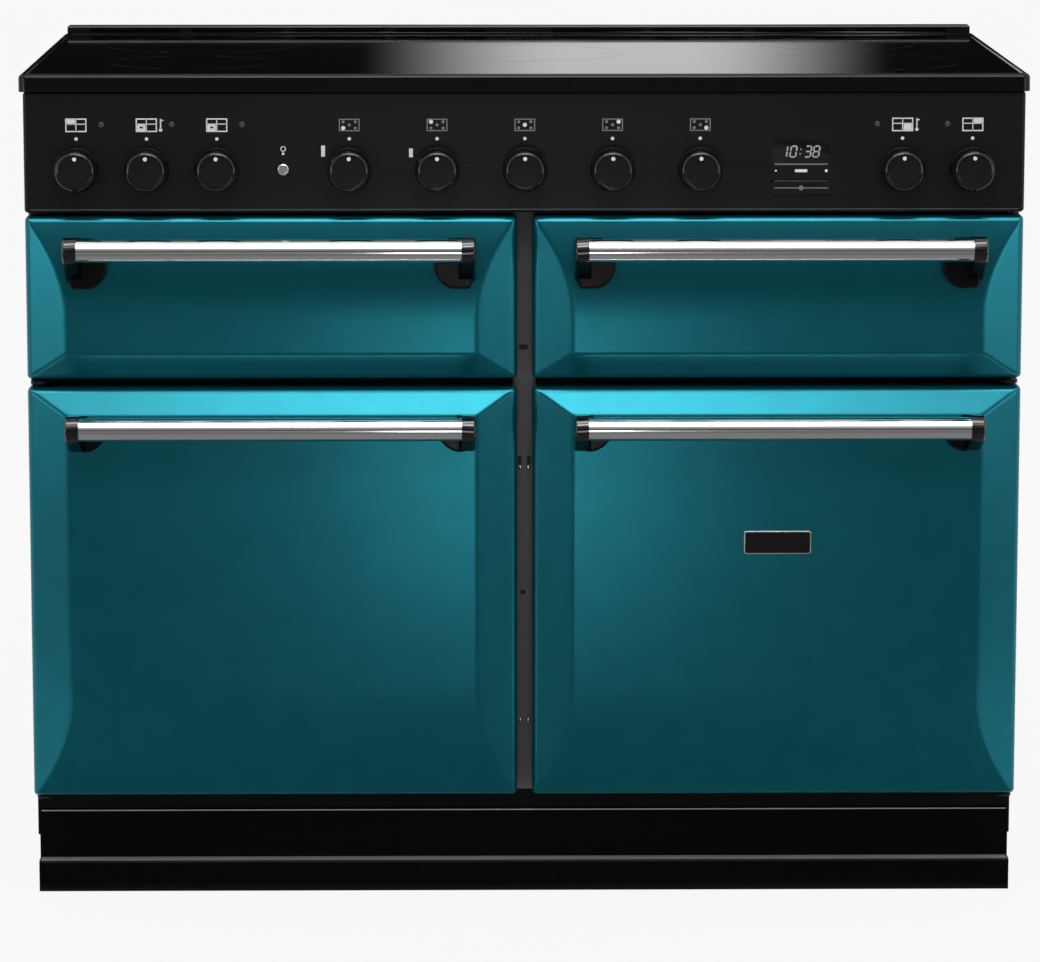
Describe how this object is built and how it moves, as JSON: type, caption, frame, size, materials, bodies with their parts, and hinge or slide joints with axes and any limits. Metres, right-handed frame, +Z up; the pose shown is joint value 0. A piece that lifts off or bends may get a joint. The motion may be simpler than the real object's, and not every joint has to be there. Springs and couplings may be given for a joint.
{
  "type": "range cooker",
  "caption": "Wide free-standing range cooker with a flat induction hob, a row of rotary controls, a glide-out grill, a slow oven and side-hung fan oven doors with bar handles.",
  "frame": {"origin": "centre of the bounding box's underside, on the floor under the feet", "axes": "+X to the cooker's right as seen from its front, +Y from the front to the wall, +Z up"},
  "size_m": [1.1, 0.6595, 0.9305],
  "materials": {
    "door_enamel": "gloss vitreous enamel, dark teal",
    "black_enamel": "gloss black enamel",
    "cabinet_paint": "satin black paint",
    "hob_glass": "polished black ceramic glass",
    "bar_chrome": "polished plate",
    "bracket_black": "gloss black moulding",
    "knob_black": "gloss black moulding with a white mark",
    "frame_grey": "satin grey paint",
    "vent_steel": "brushed",
    "oven_enamel": "speckled grey enamel",
    "bare_steel": "zinc plated sheet",
    "wire_chrome": "plated wire",
    "seal_rubber": "woven grey gasket",
    "insulation": "mineral wool",
    "element_sheath": "heat darkened sheath",
    "switch_plastic": "moulded",
    "lamp_lens": "red lens",
    "clock_window": "dark window",
    "coil_copper": "wound copper on a mica carrier",
    "module_steel": "zinc plated sheet",
    "foot_plastic": "moulded foot with its stud"
  },
  "bodies": {
    "cooker": {"back_panel": "bare_steel", "base_frame": "bare_steel", "clock_module": "clock_window", "control_switches": "switch_plastic", "door_hardware": "bare_steel", "door_seals": "seal_rubber", "fan_baffles": "oven_enamel", "fan_motors": "bare_steel", "fascia": "black_enamel", "front_frame": "frame_grey", "grill_liner": "oven_enamel", "grill_runners": "bare_steel", "heating_elements": "element_sheath", "hob_glass": "hob_glass", "hob_surround": "black_enamel", "indicator_lamps": "lamp_lens", "induction_coils": "coil_copper", "left_oven_liner": "oven_enamel", "levelling_feet": "foot_plastic", "oven_insulation": "insulation", "oven_shelves": "wire_chrome", "plinth_panels": "black_enamel", "power_modules": "module_steel", "rear_vent": "vent_steel", "right_oven_liner": "oven_enamel", "shelf_ladders": "wire_chrome", "side_panels": "cabinet_paint", "slow_oven_liner": "oven_enamel"},
    "grill_drawer": {"grill_door_skin": "door_enamel", "grill_door_inner_panel": "oven_enamel", "grill_handle_bar": "bar_chrome", "grill_handle_brackets": "bracket_black", "grill_carriage": "bare_steel", "grill_pan": "oven_enamel"},
    "slow_oven_door": {"slow_oven_door_skin": "door_enamel", "slow_oven_door_inner_panel": "oven_enamel", "slow_oven_handle_bar": "bar_chrome", "slow_oven_handle_brackets": "bracket_black"},
    "left_oven_door": {"left_oven_door_skin": "door_enamel", "left_oven_door_inner_panel": "oven_enamel", "left_oven_handle_bar": "bar_chrome", "left_oven_handle_brackets": "bracket_black"},
    "right_oven_door": {"right_oven_door_skin": "door_enamel", "right_oven_door_inner_panel": "oven_enamel", "right_oven_handle_bar": "bar_chrome", "right_oven_handle_brackets": "bracket_black"},
    "grill_knob": {"grill_knob": "knob_black"},
    "left_oven_heat_knob": {"left_oven_heat_knob": "knob_black"},
    "left_oven_mode_knob": {"left_oven_mode_knob": "knob_black"},
    "front_left_zone_knob": {"front_left_zone_knob": "knob_black"},
    "rear_left_zone_knob": {"rear_left_zone_knob": "knob_black"},
    "centre_zone_knob": {"centre_zone_knob": "knob_black"},
    "rear_right_zone_knob": {"rear_right_zone_knob": "knob_black"},
    "front_right_zone_knob": {"front_right_zone_knob": "knob_black"},
    "right_oven_heat_knob": {"right_oven_heat_knob": "knob_black"},
    "slow_oven_knob": {"slow_oven_knob": "knob_black"},
    "light_button": {"light_button": "knob_black"},
    "clock_rocker": {"clock_rocker": "knob_black"},
    "left_oven_fan": {"left_oven_fan": "bare_steel"},
    "right_oven_fan": {"right_oven_fan": "bare_steel"}
  },
  "joints": [
    {"name": "grill_slide", "type": "slide", "parent": "cooker", "child": "grill_drawer", "axis": [0, -1, 0], "range_m": [0, 0.3]},
    {"name": "slow_oven_hinge", "type": "hinge", "parent": "cooker", "child": "slow_oven_door", "pos_m": [0.5335, -0.24825, 0.675], "axis": [0, 0, 1], "range_deg": [0, 110]},
    {"name": "left_oven_hinge", "type": "hinge", "parent": "cooker", "child": "left_oven_door", "pos_m": [-0.5335, -0.24825, 0.346], "axis": [0, 0, -1], "range_deg": [0, 110]},
    {"name": "right_oven_hinge", "type": "hinge", "parent": "cooker", "child": "right_oven_door", "pos_m": [0.5335, -0.24825, 0.346], "axis": [0, 0, 1], "range_deg": [0, 110]},
    {"name": "grill_knob_turn", "type": "hinge", "parent": "cooker", "child": "grill_knob", "pos_m": [-0.488, -0.26025, 0.816], "axis": [0, 1, 0], "range_deg": [0, 270]},
    {"name": "left_oven_heat_knob_turn", "type": "hinge", "parent": "cooker", "child": "left_oven_heat_knob", "pos_m": [-0.4115, -0.26025, 0.816], "axis": [0, 1, 0], "range_deg": [0, 270]},
    {"name": "left_oven_mode_knob_turn", "type": "hinge", "parent": "cooker", "child": "left_oven_mode_knob", "pos_m": [-0.335, -0.26025, 0.816], "axis": [0, 1, 0], "range_deg": [0, 270]},
    {"name": "front_left_zone_knob_turn", "type": "hinge", "parent": "cooker", "child": "front_left_zone_knob", "pos_m": [-0.191, -0.26025, 0.816], "axis": [0, 1, 0], "range_deg": [0, 270]},
    {"name": "rear_left_zone_knob_turn", "type": "hinge", "parent": "cooker", "child": "rear_left_zone_knob", "pos_m": [-0.0955, -0.26025, 0.816], "axis": [0, 1, 0], "range_deg": [0, 270]},
    {"name": "centre_zone_knob_turn", "type": "hinge", "parent": "cooker", "child": "centre_zone_knob", "pos_m": [0, -0.26025, 0.816], "axis": [0, 1, 0], "range_deg": [0, 270]},
    {"name": "rear_right_zone_knob_turn", "type": "hinge", "parent": "cooker", "child": "rear_right_zone_knob", "pos_m": [0.0955, -0.26025, 0.816], "axis": [0, 1, 0], "range_deg": [0, 270]},
    {"name": "front_right_zone_knob_turn", "type": "hinge", "parent": "cooker", "child": "front_right_zone_knob", "pos_m": [0.191, -0.26025, 0.816], "axis": [0, 1, 0], "range_deg": [0, 270]},
    {"name": "right_oven_heat_knob_turn", "type": "hinge", "parent": "cooker", "child": "right_oven_heat_knob", "pos_m": [0.4115, -0.26025, 0.816], "axis": [0, 1, 0], "range_deg": [0, 270]},
    {"name": "slow_oven_knob_turn", "type": "hinge", "parent": "cooker", "child": "slow_oven_knob", "pos_m": [0.488, -0.26025, 0.816], "axis": [0, 1, 0], "range_deg": [0, 270]},
    {"name": "light_press", "type": "slide", "parent": "cooker", "child": "light_button", "axis": [0, 1, 0], "range_m": [0, 0.003], "stiffness_N_per_m": 400},
    {"name": "clock_rock", "type": "hinge", "parent": "cooker", "child": "clock_rocker", "pos_m": [0.30125, -0.25425, 0.7955], "axis": [0, 0, 1], "range_deg": [-3, 3], "stiffness_Nm_per_rad": 0.5},
    {"name": "left_fan_spin", "type": "hinge", "parent": "cooker", "child": "left_oven_fan", "pos_m": [-0.277, 0.20775, 0.3465], "axis": [0, 1, 0], "continuous": true},
    {"name": "right_fan_spin", "type": "hinge", "parent": "cooker", "child": "right_oven_fan", "pos_m": [0.277, 0.20775, 0.3465], "axis": [0, 1, 0], "continuous": true}
  ]
}
